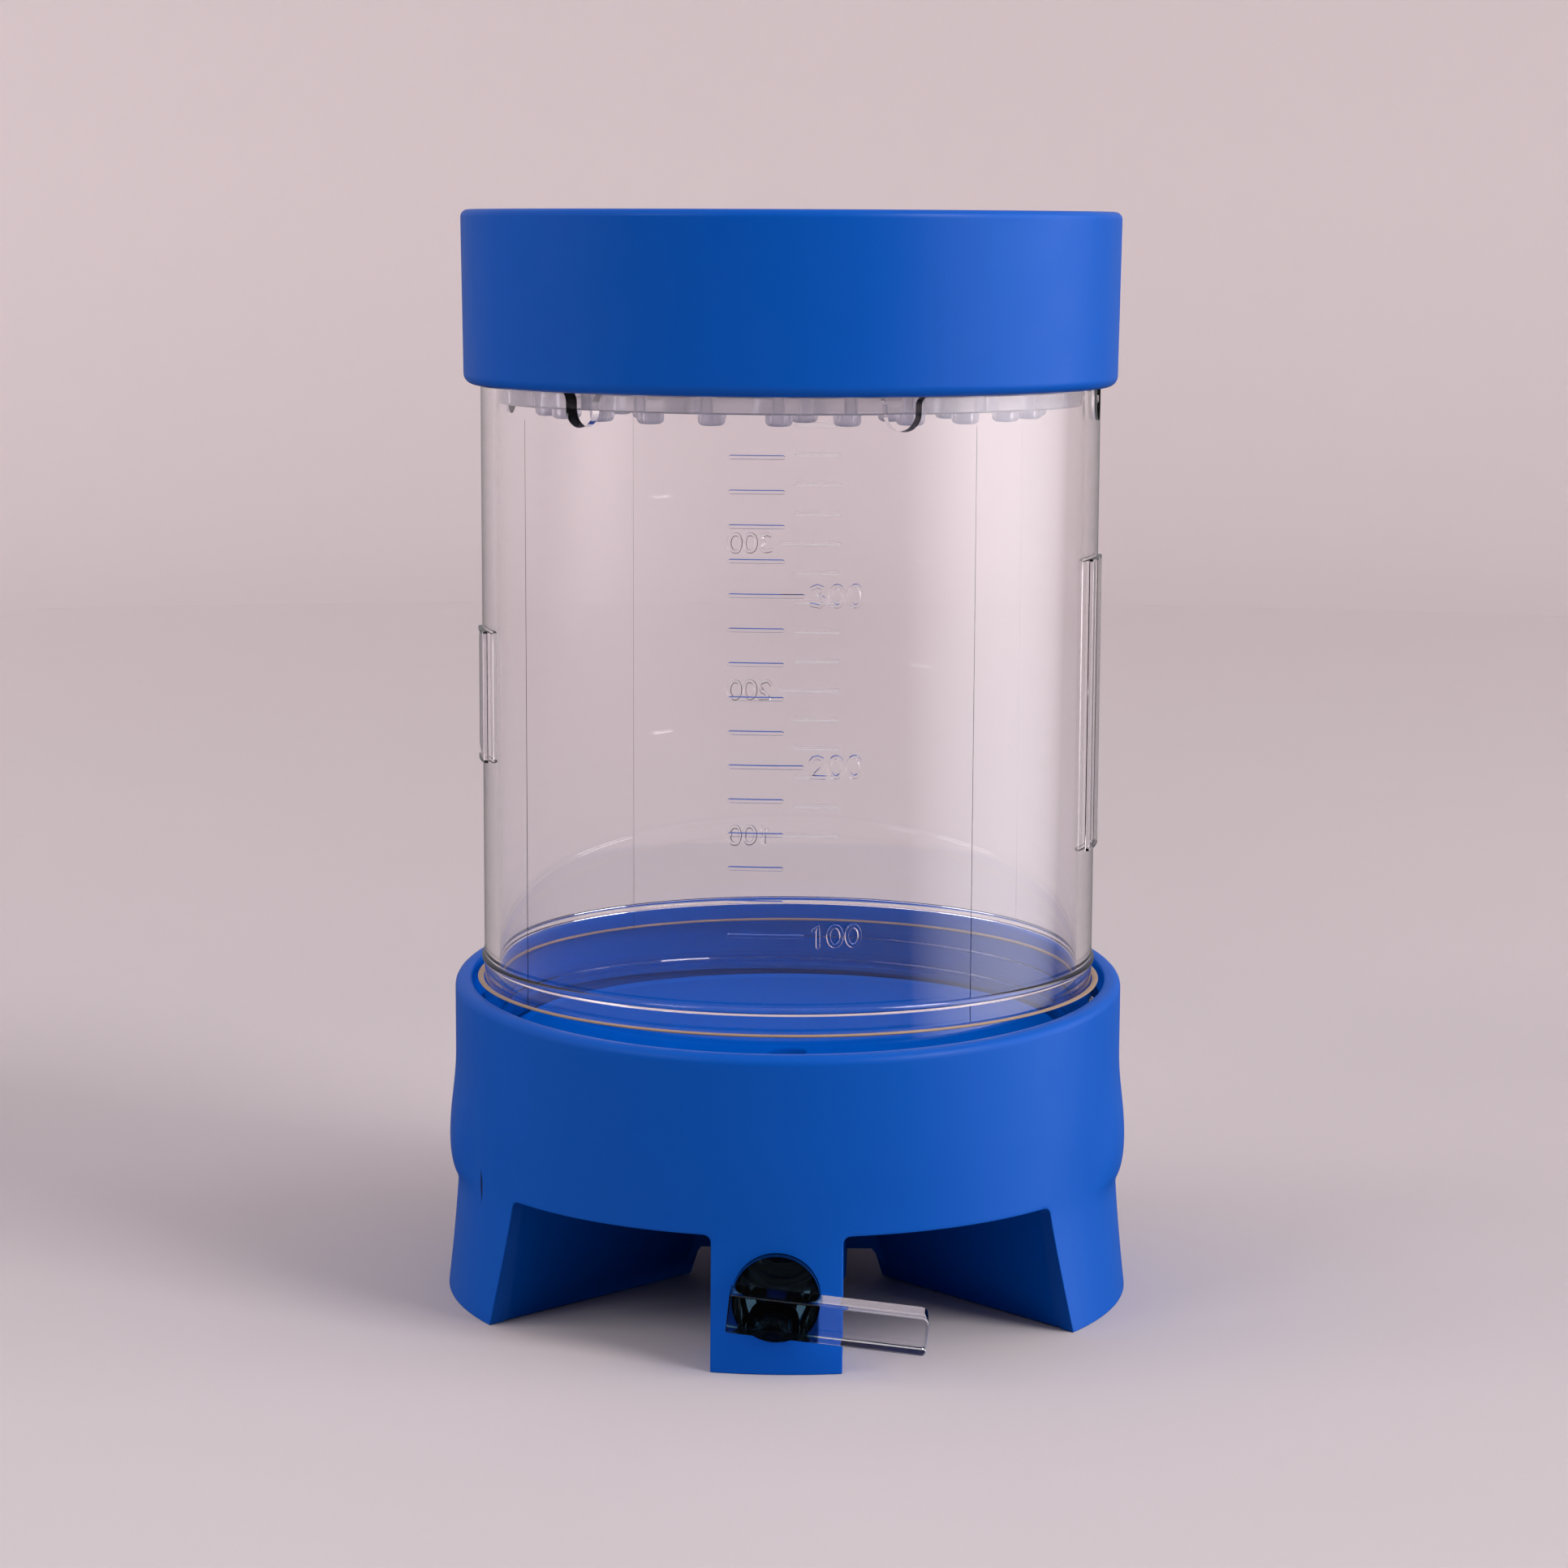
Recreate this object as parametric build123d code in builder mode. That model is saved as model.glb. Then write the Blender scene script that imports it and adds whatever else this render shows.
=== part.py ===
from build123d import *
from math import cos, pi, radians, sin
import os

# A clear graduated drain canister: a threaded barrel stands in a footed base with a
# quarter-turn drain valve, and a nozzle insert and a screw lid close its top.
# Millimetres. +Z is up, the origin is on the barrel's axis on the surface that the
# feet stand on, and the valve's lever is at -Y.

# Barrel
BARREL_R = 40.8
WALL = 2.0
BORE_R = BARREL_R - WALL
BARREL_FOOT = 29.6
BARREL_RIM = 121.2
BEAD_Z = 45.0
BEAD_PROUD = 0.45
BEAD_HALF = 0.75
NECK_SEAL_Z = 42.1
NECK_SEAL_WIRE = 0.4
NOTCH_COUNT = 6
NOTCH_WIDTH = 4.5
NOTCH_DEPTH = 4.2
NOTCH_START = -38.4

# Graduation: the area of the bore sets the spacing of the marks
FIRST_MARK_ML = 100
FIRST_MARK_Z = 54.6
STEP_ML = 20
MARK_COUNT = 15
BORE_AREA = pi * BORE_R**2
STEP = STEP_ML * 1000 / BORE_AREA
RIB = 0.55
RIB_PROUD = 0.3
TICK_FROM = -8.6
SHORT_TICK = 8.9
LONG_TICK = 12.4
LONG_EVERY = 5
SIDE_PANELS = ((-86.0, 12.0, 72.0, 89.0), (74.0, 12.0, 61.0, 99.0))

# Barrel thread, which the base carries on its inner wall
BARREL_PITCH = 3.4
THREAD_Z = 32.6
MALE_TURNS = 2.3
FEMALE_TURNS = 2.0
MALE_CREST = BARREL_R + 1.15
FEMALE_CREST = BARREL_R + 0.45
THREAD_ROOT = 1.25
THREAD_TIP = 0.7
ROOTED = 0.2

# Base
RIM_Z = 42.4
RIM_SLANT = 2.9
RIM_ROUND = 1.2
RIM_CHAMFER = 0.6
SKIRT_R = 44.7
MOUTH_R = 42.4
WAIST_R = 44.45
WAIST_Z = 15.8
FOOT_R = 45.9
SKIN = 2.4
OPENING_Z = 17.2
OPENING_FILLET = 1.0
LEG_WIDTH = 16.5
LEG_DEPTH = 9.0
SIDE_LEG_APEX = 13.0
WEB_ANGLE = 46.0
WEB_LEAN = 13.0
GROOVE_Z = 28.0
GROOVE_SKIN = 2.2
UPSTAND_R = 38.3
UPSTAND_WALL = 2.0
FUNNEL_DROP = 3.0
FUNNEL_SKIN = 2.4
FUNNEL_R = UPSTAND_R - UPSTAND_WALL
FUNNEL_ML = pi * FUNNEL_R**2 * FUNNEL_DROP / 3000
FLOOR_TOP = FIRST_MARK_Z - (FIRST_MARK_ML - FUNNEL_ML) * 1000 / BORE_AREA
RIB_TOP = GROOVE_Z - 1.0
RIB_WALL = 2.4
HUB_WIDTH = 16.4
HUB_FRONT = -11.0
HUB_BACK = 8.2
HUB_FOOT = 2.0
ARCH_Z = 4.2
HUB_ROUND = 2.5
DRAIN_R = 2.5
DRAIN_LIP_R = 4.4
DRAIN_LIP = 1.2
GRIP_ARC = 46.0
GRIP_LOW = 16.2
GRIP_CREST = 19.9
GRIP_HIGH = 33.0
GRIP_R = 45.5

# Valve
VALVE_Z = 9.7
VALVE_BORE_R = 5.55
PLUG_R = 5.48
SLEEVE_R = 7.6
LEG_FACE = 44.9
LEVER_LENGTH = 24.8
LEVER_HEIGHT = 4.9
LEVER_DEPTH = 5.0
LEVER_GAP = 1.0
LEVER_TAIL = 5.8
LEVER_OFFSET = 1.1
LEVER_DROOP = 6.3
PORT_R = 2.4
PLUG_TAIL = 11.6
SEAL_PLACES = (-7.0, 5.6)
SEAL_WIRE = 0.5
SEAL_GROOVE_R = 4.42
SEAL_GROOVE = 1.5
WASHER_THICK = 0.8
WASHER_R = 7.4
CLIP_THICK = 0.7
CLIP_R = 7.0
CLIP_GROOVE_R = 4.6
RUNNING_GAP = 0.1

# Insert
PLATE_Z = 118.8
PLATE = 2.0
PLUG_WALL_R = 38.4
PLUG_WALL = 2.0
FLANGE_Z = BARREL_RIM + 0.1
FLANGE = 1.8
NECK_R = 38.2
NECK_TOP = 135.4
OUTER_NOZZLES = 24
OUTER_RING_R = 32.1
OUTER_START = -0.9
INNER_NOZZLES = 12
INNER_RING_R = 22.5
INNER_START = 6.0
NOZZLE_R = 1.7
NOZZLE_BORE_R = 0.8
NOZZLE_DROP = 1.65
NOZZLE_ROUND = 0.7

# Lid
LID_FOOT = 121.1
LID_TOP = 143.7
LID_R_FOOT = 43.0
LID_R_TOP = 43.3
LID_BORE_R = 41.1
LID_SKIN = 2.2
LID_ROUND = 1.6
LID_PITCH = 4.0
LID_THREAD_Z = 126.0
LID_TURNS = 1.75
NECK_CREST = 39.9
LID_CREST = 38.9
GASKET = 1.3
GASKET_R = 38.0
GASKET_BORE_R = 34.0
GASKET_GAP = 0.1


def on_wall(radius, azimuth, z=0):
    """A point at a radius, an azimuth counted from the front (-Y) towards +X, and a height."""
    angle = radians(azimuth)
    return (radius * sin(angle), -radius * cos(angle), z)


def ring(inner, outer, low, high):
    """A plain ring about the Z axis."""
    with BuildPart() as made:
        with BuildSketch(Plane.XY.offset(low)):
            Circle(outer)
            Circle(inner, mode=Mode.SUBTRACT)
        extrude(amount=high - low)
    return made.part


def block(x_range, y_range, z_range):
    """A plain block between two corners."""
    with BuildPart() as made:
        with BuildSketch(Plane.XY.offset(z_range[0])):
            with Locations((sum(x_range) / 2, sum(y_range) / 2)):
                Rectangle(x_range[1] - x_range[0], y_range[1] - y_range[0])
        extrude(amount=z_range[1] - z_range[0])
    return made.part


def thread(root, crest, pitch, low, turns):
    """A trapezoid ridge on a right-hand helix, from its root radius to its crest radius."""
    reach = crest - root
    with BuildPart() as made:
        with BuildLine():
            path = Helix(pitch=pitch, height=pitch * turns, radius=root, center=(0, 0, low))
        with BuildSketch(Plane(origin=path @ 0, x_dir=(1, 0, 0), z_dir=path % 0)):
            with BuildLine():
                Polyline(
                    (0, -THREAD_ROOT / 2),
                    (reach, -THREAD_TIP / 2),
                    (reach, THREAD_TIP / 2),
                    (0, THREAD_ROOT / 2),
                    close=True,
                )
            make_face()
        sweep(path=path, is_frenet=True)
    return made.part


def nozzle_rods(radius, low, height):
    """A rod at the place of each nozzle."""
    rings = (
        (OUTER_RING_R, OUTER_NOZZLES, OUTER_START - 90),
        (INNER_RING_R, INNER_NOZZLES, INNER_START - 90),
    )
    with BuildPart() as made:
        for ring_radius, count, start in rings:
            with BuildSketch(Plane.XY.offset(low)):
                with PolarLocations(ring_radius, count, start_angle=start):
                    Circle(radius)
            extrude(amount=height)
    return made.part


def arc_rib(inner, outer, azimuth, arc, low, high):
    """A rib that follows a round wall through an arc of azimuth."""
    start = Plane(origin=(0, 0, 0), x_dir=on_wall(1, azimuth), z_dir=on_wall(1, azimuth - 90))
    with BuildPart() as made:
        with BuildSketch(start):
            with Locations(((inner + outer) / 2, (low + high) / 2)):
                Rectangle(outer - inner, high - low)
        revolve(axis=Axis.Z, revolution_arc=arc)
    return made.part


def behind_web(side, end, inset=0.0):
    """The space on a side leg's inner side of one leaning web face."""
    turn = radians(WEB_ANGLE)
    lean = radians(WEB_LEAN)
    outward = (-side * sin(turn) * cos(lean), end * cos(turn) * cos(lean), -sin(lean))
    face = Plane(origin=(side * SIDE_LEG_APEX, 0, 0), z_dir=outward).offset(-inset)
    with BuildPart() as made:
        with BuildSketch(face):
            Rectangle(300, 300)
        extrude(amount=-150)
    return made.part


def side_leg(side, inset, radius, low, high):
    """A side leg's wedge between its two webs, or the hollow inside it."""
    with BuildPart() as made:
        with BuildSketch(Plane.XY.offset(low)):
            Circle(radius)
        extrude(amount=high - low)
        add(behind_web(side, -1, inset), mode=Mode.INTERSECT)
        add(behind_web(side, 1, inset), mode=Mode.INTERSECT)
    return made.part


def opening(side, end):
    """The gap between a side leg and the front or back leg, with rounded top corners."""
    reach = 60
    edge = LEG_WIDTH / 2
    x_range = (edge, reach) if side > 0 else (-reach, -edge)
    y_range = (-reach, 20) if end < 0 else (-20, reach)
    with BuildPart() as made:
        add(block(x_range, y_range, (-1, OPENING_Z)))
        add(behind_web(side, end), mode=Mode.SUBTRACT)
        roof = made.faces().sort_by(Axis.Z)[-1]
        inner = roof.edges().filter_by(lambda e: e.center().length < reach * 0.7)
        fillet(inner, OPENING_FILLET)
    return made.part


def skirt():
    """The base's outer wall, with its slanted rim, its waist and its flared feet."""
    normal = (0, -sin(radians(RIM_SLANT)), cos(radians(RIM_SLANT)))
    rim = Plane(origin=(0, 0, RIM_Z), z_dir=normal)
    along_rim = Axis((0, 0, 0), normal)
    rim_limit = RIM_Z + FOOT_R * sin(radians(RIM_SLANT)) + RIM_ROUND
    with BuildPart() as made:
        with BuildSketch(Plane.XZ):
            with BuildLine():
                Polyline((MOUTH_R, GROOVE_Z), (MOUTH_R, rim_limit), (SKIRT_R, rim_limit), (SKIRT_R, GROOVE_Z))
                Spline(
                    (SKIRT_R, GROOVE_Z),
                    (WAIST_R, WAIST_Z),
                    (FOOT_R, 0),
                    tangents=((0, -1), (0.12, -1)),
                )
                Polyline((FOOT_R, 0), (FOOT_R - SKIN, 0), (WAIST_R - SKIN, WAIST_Z), (MOUTH_R, GROOVE_Z))
            make_face()
        revolve(axis=Axis.Z)
        split(bisect_by=rim, keep=Keep.BOTTOM)
        fillet(made.faces().sort_by(along_rim)[-1].outer_wire().edges(), RIM_ROUND)
        chamfer(made.faces().sort_by(along_rim)[-1].inner_wires()[0].edges(), RIM_CHAMFER)
        for side in (-1, 1):
            for end in (-1, 1):
                add(opening(side, end), mode=Mode.SUBTRACT)
    return made.part


def grip(azimuth):
    """A low swelling on the side of the base, thickest near its lower edge."""
    start = azimuth - GRIP_ARC / 2
    plane = Plane(origin=(0, 0, 0), x_dir=on_wall(1, start), z_dir=on_wall(1, start - 90))
    rooted = WAIST_R - 0.6
    with BuildPart() as made:
        with BuildSketch(plane):
            with BuildLine():
                Spline(
                    (SKIRT_R - 0.1, GRIP_HIGH),
                    (GRIP_R, GRIP_CREST),
                    (WAIST_R - 0.1, GRIP_LOW),
                    tangents=((0.03, -1), (-1, -0.9)),
                )
                Polyline((WAIST_R - 0.1, GRIP_LOW), (rooted, GRIP_LOW), (rooted, GRIP_HIGH))
                Line((rooted, GRIP_HIGH), (SKIRT_R - 0.1, GRIP_HIGH))
            make_face()
        revolve(axis=Axis.Z, revolution_arc=GRIP_ARC)
    return made.part


def cup():
    """The groove for the barrel's foot, the upstand inside it and the funnel floor."""
    upstand_low = GROOVE_Z - GROOVE_SKIN
    centre_top = FLOOR_TOP - FUNNEL_DROP
    with BuildPart() as made:
        with BuildSketch(Plane.XZ):
            with BuildLine():
                Polyline(
                    (0, centre_top),
                    (FUNNEL_R, FLOOR_TOP),
                    (FUNNEL_R + UPSTAND_WALL / 2, FLOOR_TOP + 0.5),
                    (UPSTAND_R, FLOOR_TOP - 0.5),
                    (UPSTAND_R, GROOVE_Z),
                    (MOUTH_R + 0.5, GROOVE_Z),
                    (MOUTH_R + 0.5, upstand_low),
                    (FUNNEL_R - 0.5, upstand_low),
                    (FUNNEL_R - 0.5, FLOOR_TOP - FUNNEL_SKIN),
                    (0, centre_top - FUNNEL_SKIN),
                    close=True,
                )
            make_face()
        revolve(axis=Axis.Z)
    return made.part


def underside():
    """The legs' webs, the hub that holds the valve, and the ribs between them."""
    edge = LEG_WIDTH / 2
    leg_back = SKIRT_R - 1.0
    with BuildPart() as made:
        for side in (-1, 1):
            add(side_leg(side, 0, leg_back, 0, RIB_TOP))
        for side in (-1, 1):
            add(side_leg(side, RIB_WALL, WAIST_R - SKIN, -1, RIB_TOP - RIB_WALL), mode=Mode.SUBTRACT)
        add(block((-edge, edge), (-leg_back, -leg_back + LEG_DEPTH), (0, RIB_TOP)))
        add(block((-edge, edge), (leg_back - LEG_DEPTH, leg_back), (0, RIB_TOP)))
        core = edge - RIB_WALL
        core_back = leg_back - LEG_DEPTH + RIB_WALL
        add(block((-core, core), (core_back, WAIST_R - SKIN), (-1, RIB_TOP - RIB_WALL)), mode=Mode.SUBTRACT)
        add(block((-SIDE_LEG_APEX, SIDE_LEG_APEX), (-RIB_WALL / 2, RIB_WALL / 2), (ARCH_Z, RIB_TOP + 2)))
        add(block((-RIB_WALL / 2, RIB_WALL / 2), (0, leg_back - LEG_DEPTH + 1), (VALVE_Z + 8, RIB_TOP + 2)))
        add(block((-RIB_WALL / 2, RIB_WALL / 2), (-leg_back + LEG_DEPTH - 1, 0), (VALVE_Z, RIB_TOP + 2)))
        with BuildSketch(Plane.XY.offset(HUB_FOOT)):
            with Locations((0, (HUB_FRONT + HUB_BACK) / 2)):
                RectangleRounded(HUB_WIDTH, HUB_BACK - HUB_FRONT, HUB_ROUND)
        extrude(amount=FLOOR_TOP - FUNNEL_DROP - FUNNEL_SKIN / 2 - HUB_FOOT)
        with BuildSketch(Plane(origin=(0, HUB_FRONT + 1, VALVE_Z), z_dir=(0, -1, 0))):
            Circle(SLEEVE_R)
        extrude(amount=leg_back - LEG_DEPTH + HUB_FRONT + 2)
        with BuildSketch(Plane.XY.offset(HUB_FOOT - DRAIN_LIP)):
            Circle(DRAIN_LIP_R)
        extrude(amount=DRAIN_LIP + 1)
    return made.part


with BuildPart() as base_body:
    add(skirt())
    add(underside())
    add(cup())
    for azimuth in (-90, 90):
        add(grip(azimuth))
    add(thread(MOUTH_R + ROOTED, FEMALE_CREST, BARREL_PITCH, THREAD_Z - BARREL_PITCH / 2, FEMALE_TURNS))
    with BuildSketch(Plane(origin=(0, -60, VALVE_Z), z_dir=(0, 1, 0))):
        Circle(VALVE_BORE_R)
    extrude(amount=60 + HUB_BACK + 1, mode=Mode.SUBTRACT)
    with BuildSketch(Plane.XY):
        Circle(DRAIN_R)
    extrude(amount=FLOOR_TOP, mode=Mode.SUBTRACT)

with BuildPart() as base_gasket:
    add(ring(UPSTAND_R + 0.2, MOUTH_R - 0.2, GROOVE_Z, BARREL_FOOT - RUNNING_GAP))

with BuildPart() as neck_seal:
    with BuildSketch(Plane.XZ):
        with Locations((BARREL_R + NECK_SEAL_WIRE + RUNNING_GAP, NECK_SEAL_Z)):
            Circle(NECK_SEAL_WIRE)
    revolve(axis=Axis.Z)

with BuildPart() as barrel:
    add(ring(BORE_R, BARREL_R, BARREL_FOOT, BARREL_RIM))
    add(thread(BARREL_R - ROOTED, MALE_CREST, BARREL_PITCH, THREAD_Z, MALE_TURNS))
    with BuildSketch(Plane.XZ):
        with BuildLine():
            bead_low = (BARREL_R - ROOTED, BEAD_Z - BEAD_HALF)
            bead_high = (BARREL_R - ROOTED, BEAD_Z + BEAD_HALF)
            ThreePointArc(bead_low, (BARREL_R + BEAD_PROUD, BEAD_Z), bead_high)
            Line(bead_high, bead_low)
        make_face()
    revolve(axis=Axis.Z)
    for turn in (0, 180):
        for mark in range(MARK_COUNT):
            height = FIRST_MARK_Z + mark * STEP
            arc = LONG_TICK if mark % LONG_EVERY == 0 else SHORT_TICK
            limits = (height - RIB / 2, height + RIB / 2)
            add(arc_rib(BARREL_R - ROOTED, BARREL_R + RIB_PROUD, TICK_FROM + turn, arc, *limits))
    for azimuth, arc, low, high in SIDE_PANELS:
        add(arc_rib(BARREL_R - ROOTED, BARREL_R + RIB_PROUD, azimuth, arc, low, high))
    for notch in range(NOTCH_COUNT):
        facing = on_wall(1, NOTCH_START + notch * 360 / NOTCH_COUNT)
        round_z = BARREL_RIM - NOTCH_DEPTH + NOTCH_WIDTH / 2
        with BuildSketch(Plane(origin=(0, 0, round_z), x_dir=(0, 0, 1), z_dir=facing)):
            Circle(NOTCH_WIDTH / 2)
            with Locations((NOTCH_WIDTH, 0)):
                Rectangle(NOTCH_WIDTH * 2, NOTCH_WIDTH)
        extrude(amount=BARREL_R + 5, mode=Mode.SUBTRACT)

with BuildPart() as nozzle_insert:
    with BuildSketch(Plane.XY.offset(PLATE_Z)):
        Circle(PLUG_WALL_R)
    extrude(amount=PLATE)
    add(ring(PLUG_WALL_R - PLUG_WALL, PLUG_WALL_R, PLATE_Z, FLANGE_Z + FLANGE))
    add(ring(PLUG_WALL_R - PLUG_WALL, BARREL_R, FLANGE_Z, FLANGE_Z + FLANGE))
    add(ring(NECK_R - PLUG_WALL, NECK_R, FLANGE_Z + FLANGE - 0.5, NECK_TOP))
    add(thread(NECK_R - ROOTED, NECK_CREST, LID_PITCH, LID_THREAD_Z, LID_TURNS))
    add(nozzle_rods(NOZZLE_BORE_R, PLATE_Z - 1, PLATE + 2), mode=Mode.SUBTRACT)

with BuildPart() as insert_nozzles:
    add(nozzle_rods(NOZZLE_R, PLATE_Z - NOZZLE_DROP, NOZZLE_DROP))
    fillet(faces().group_by(Axis.Z)[0].edges(), NOZZLE_ROUND)
    add(nozzle_rods(NOZZLE_BORE_R, PLATE_Z - NOZZLE_DROP - 1, NOZZLE_DROP + 2), mode=Mode.SUBTRACT)

with BuildPart() as lid_gasket:
    gasket_low = NECK_TOP + GASKET_GAP
    add(ring(GASKET_BORE_R, GASKET_R, gasket_low, gasket_low + GASKET))

with BuildPart() as lid:
    roof_z = LID_TOP - LID_SKIN
    seat_z = NECK_TOP + 2 * GASKET_GAP + GASKET
    with BuildSketch(Plane.XZ):
        with BuildLine():
            Polyline(
                (0, LID_TOP),
                (0, roof_z),
                (GASKET_BORE_R - 0.5, roof_z),
                (GASKET_BORE_R - 0.5, seat_z),
                (GASKET_R + 0.3, seat_z),
                (GASKET_R + 0.3, roof_z),
                (LID_BORE_R, roof_z - 3.0),
                (LID_BORE_R, LID_FOOT),
                (LID_R_FOOT, LID_FOOT),
                (LID_R_TOP, LID_TOP),
                close=True,
            )
        make_face()
        corners = vertices().group_by(Axis.X)[-1] + vertices().filter_by(
            lambda v: abs(v.X - LID_R_FOOT) < 0.01
        )
        fillet(corners, LID_ROUND * 0.6)
    revolve(axis=Axis.Z)
    add(thread(LID_BORE_R + ROOTED, LID_CREST, LID_PITCH, LID_THREAD_Z - LID_PITCH / 2, LID_TURNS))

with BuildPart() as valve_plug:
    lever_front = LEG_FACE + LEVER_GAP + LEVER_DEPTH
    droop = radians(LEVER_DROOP)
    along_lever = (cos(droop), 0, -sin(droop))
    lever_frame = Plane(origin=(0, 0, VALVE_Z), x_dir=along_lever, z_dir=(0, -1, 0))
    with BuildSketch(Plane(origin=(0, PLUG_TAIL, VALVE_Z), z_dir=(0, -1, 0))):
        Circle(PLUG_R)
    extrude(amount=PLUG_TAIL + LEG_FACE + LEVER_GAP + LEVER_DEPTH / 2)
    with BuildSketch(lever_frame.offset(LEG_FACE + LEVER_GAP)):
        with Locations((LEVER_LENGTH / 2 - LEVER_TAIL, -LEVER_OFFSET)):
            Rectangle(LEVER_LENGTH, LEVER_HEIGHT)
    extrude(amount=LEVER_DEPTH)
    with BuildSketch(lever_frame.offset(LEG_FACE + LEVER_GAP)):
        with Locations((0, LEVER_HEIGHT / 2 - LEVER_OFFSET + PLUG_R)):
            Rectangle(PLUG_R * 4, PLUG_R * 2)
        with Locations((0, -LEVER_HEIGHT / 2 - LEVER_OFFSET - PLUG_R)):
            Rectangle(PLUG_R * 4, PLUG_R * 2)
    extrude(amount=LEVER_DEPTH, mode=Mode.SUBTRACT)
    for place in SEAL_PLACES:
        with BuildSketch(Plane(origin=(0, place + SEAL_GROOVE / 2, VALVE_Z), z_dir=(0, -1, 0))):
            Circle(PLUG_R + 1)
            Circle(SEAL_GROOVE_R, mode=Mode.SUBTRACT)
        extrude(amount=SEAL_GROOVE, mode=Mode.SUBTRACT)
    clip_front = HUB_BACK + RUNNING_GAP + WASHER_THICK + RUNNING_GAP
    with BuildSketch(Plane(origin=(0, clip_front + CLIP_THICK + RUNNING_GAP, VALVE_Z), z_dir=(0, -1, 0))):
        Circle(PLUG_R + 1)
        Circle(CLIP_GROOVE_R, mode=Mode.SUBTRACT)
    extrude(amount=CLIP_THICK + RUNNING_GAP, mode=Mode.SUBTRACT)
    with BuildSketch(Plane(origin=(0, 0, VALVE_Z), z_dir=along_lever)):
        Circle(PORT_R)
    extrude(amount=PLUG_R + 1, both=True, mode=Mode.SUBTRACT)

with BuildPart() as valve_seals:
    for place in SEAL_PLACES:
        with BuildSketch(Plane(origin=(0, 0, VALVE_Z), x_dir=(1, 0, 0), z_dir=(0, 0, 1))):
            with Locations((SEAL_GROOVE_R + SEAL_WIRE + 0.03, place)):
                Circle(SEAL_WIRE)
        revolve(axis=Axis((0, 0, VALVE_Z), (0, 1, 0)))

with BuildPart() as valve_washer:
    with BuildSketch(Plane(origin=(0, HUB_BACK + RUNNING_GAP, VALVE_Z), z_dir=(0, 1, 0))):
        Circle(WASHER_R)
        Circle(PLUG_R + 0.12, mode=Mode.SUBTRACT)
    extrude(amount=WASHER_THICK)

with BuildPart() as valve_clip:
    with BuildSketch(Plane(origin=(0, clip_front, VALVE_Z), z_dir=(0, 1, 0))):
        Circle(CLIP_R)
        Circle(CLIP_GROOVE_R + 0.05, mode=Mode.SUBTRACT)
        with Locations((0, -CLIP_R)):
            Rectangle(CLIP_GROOVE_R * 1.4, CLIP_R * 1.5, mode=Mode.SUBTRACT)
    extrude(amount=CLIP_THICK)

os.makedirs("parts", exist_ok=True)
base_body.part.label = "base_body"
export_step(base_body.part, "parts/base_body.step")
base_gasket.part.label = "base_gasket"
export_step(base_gasket.part, "parts/base_gasket.step")
neck_seal.part.label = "neck_seal"
export_step(neck_seal.part, "parts/neck_seal.step")
barrel.part.label = "barrel"
export_step(barrel.part, "parts/barrel.step")
nozzle_insert.part.label = "nozzle_insert"
export_step(nozzle_insert.part, "parts/nozzle_insert.step")
insert_nozzles.part.label = "insert_nozzles"
export_step(insert_nozzles.part, "parts/insert_nozzles.step")
lid_gasket.part.label = "lid_gasket"
export_step(lid_gasket.part, "parts/lid_gasket.step")
lid.part.label = "lid"
export_step(lid.part, "parts/lid.step")
valve_plug.part.label = "valve_plug"
export_step(valve_plug.part, "parts/valve_plug.step")
valve_seals.part.label = "valve_seals"
export_step(valve_seals.part, "parts/valve_seals.step")
valve_washer.part.label = "valve_washer"
export_step(valve_washer.part, "parts/valve_washer.step")
valve_clip.part.label = "valve_clip"
export_step(valve_clip.part, "parts/valve_clip.step")
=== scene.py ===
import bmesh
import bpy
from math import acos, asin, ceil, cos, degrees, hypot, pi, radians, sin, sqrt, tan
from mathutils import Matrix, Vector


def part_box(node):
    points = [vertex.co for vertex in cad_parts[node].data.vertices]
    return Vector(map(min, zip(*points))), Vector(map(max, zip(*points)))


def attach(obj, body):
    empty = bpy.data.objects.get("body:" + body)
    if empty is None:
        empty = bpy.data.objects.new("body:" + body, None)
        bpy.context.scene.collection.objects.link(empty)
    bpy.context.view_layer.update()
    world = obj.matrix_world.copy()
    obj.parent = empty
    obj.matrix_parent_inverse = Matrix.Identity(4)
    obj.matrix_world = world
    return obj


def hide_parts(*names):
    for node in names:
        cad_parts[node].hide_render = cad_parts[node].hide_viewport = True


# The visual model of a graduated drain canister: a clear threaded barrel in a blue
# footed base with a clear drain valve, under a clear nozzle insert and a blue lid.
# Lengths below are in millimetres, and MM turns them into the frame's metres.

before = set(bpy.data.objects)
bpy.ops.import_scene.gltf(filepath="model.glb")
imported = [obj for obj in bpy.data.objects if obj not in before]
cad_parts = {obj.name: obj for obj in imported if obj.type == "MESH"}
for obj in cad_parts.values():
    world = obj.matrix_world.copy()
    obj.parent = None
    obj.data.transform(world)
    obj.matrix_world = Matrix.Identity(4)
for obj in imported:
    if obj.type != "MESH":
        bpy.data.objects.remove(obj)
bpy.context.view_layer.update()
MM = 0.001
EDGE_ANGLE = radians(38)


def node_box(node):
    """A CAD node's lowest and highest corners, in millimetres."""
    low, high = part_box(node)
    return low / MM, high / MM


# ---------------------------------------------------------------- sizes
BASE_HIGH = node_box("base_body")[1]
BARREL_LOW, BARREL_HIGH = node_box("barrel")
LID_LOW, LID_HIGH = node_box("lid")
INSERT_HIGH = node_box("nozzle_insert")[1]
PLUG_LOW, PLUG_HIGH = node_box("valve_plug")

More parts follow.
